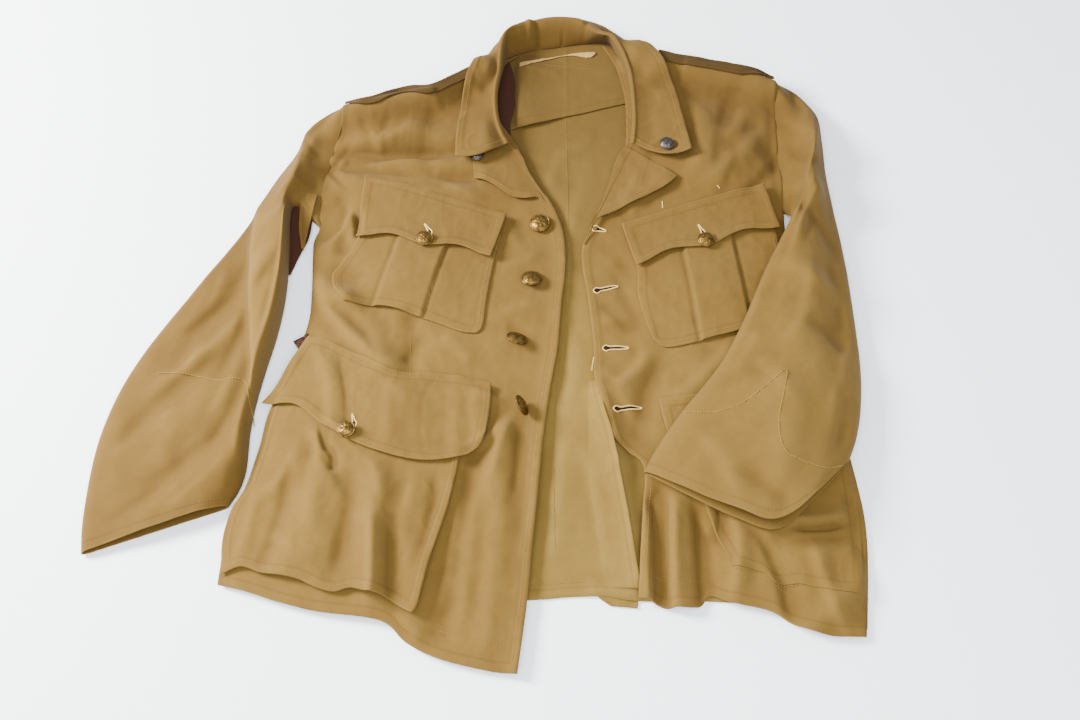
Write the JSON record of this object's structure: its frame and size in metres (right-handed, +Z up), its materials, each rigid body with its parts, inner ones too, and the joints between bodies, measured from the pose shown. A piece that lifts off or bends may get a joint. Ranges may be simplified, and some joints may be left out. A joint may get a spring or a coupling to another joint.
{
  "type": "military tunic",
  "caption": "Khaki drill service tunic laid on its back with its front open, with flapped patch pockets, bellows skirt pockets, shoulder straps and brass buttons.",
  "frame": {"origin": "the table under the middle of the back panel, on its flat underside", "axes": "+X towards the wearer's left, +Y towards the collar, +Z up from the table"},
  "size_m": [0.7731, 0.8127, 0.0461],
  "materials": {
    "khaki_drill": "washed cotton drill, matt, soft twill",
    "brass": "worn domed brass",
    "dark_bronze": "dark satin bronze",
    "cream_tape": "plain cotton tape"
  },
  "bodies": {
    "root": {"back": "khaki_drill", "back_neck_facing": "khaki_drill", "belt_hook": "dark_bronze", "breast_button_left": "brass", "breast_button_right": "brass", "breast_flap_left": "khaki_drill", "breast_flap_right": "khaki_drill", "breast_pocket_left": "khaki_drill", "breast_pocket_right": "khaki_drill", "collar": "khaki_drill", "collar_stud_left": "dark_bronze", "collar_stud_right": "dark_bronze", "cuff_left": "khaki_drill", "cuff_right": "khaki_drill", "front_button_1": "brass", "front_button_2": "brass", "front_button_3": "brass", "front_button_4": "brass", "front_left": "khaki_drill", "front_right": "khaki_drill", "lapel_left": "khaki_drill", "lapel_right": "khaki_drill", "neck_tape": "cream_tape", "shoulder_strap_left": "khaki_drill", "shoulder_strap_right": "khaki_drill", "skirt_button_right": "brass", "skirt_flap_left": "khaki_drill", "skirt_flap_right": "khaki_drill", "skirt_pocket_left": "khaki_drill", "skirt_pocket_right": "khaki_drill", "sleeve_left": "khaki_drill", "sleeve_right": "khaki_drill"}
  },
  "joints": []
}
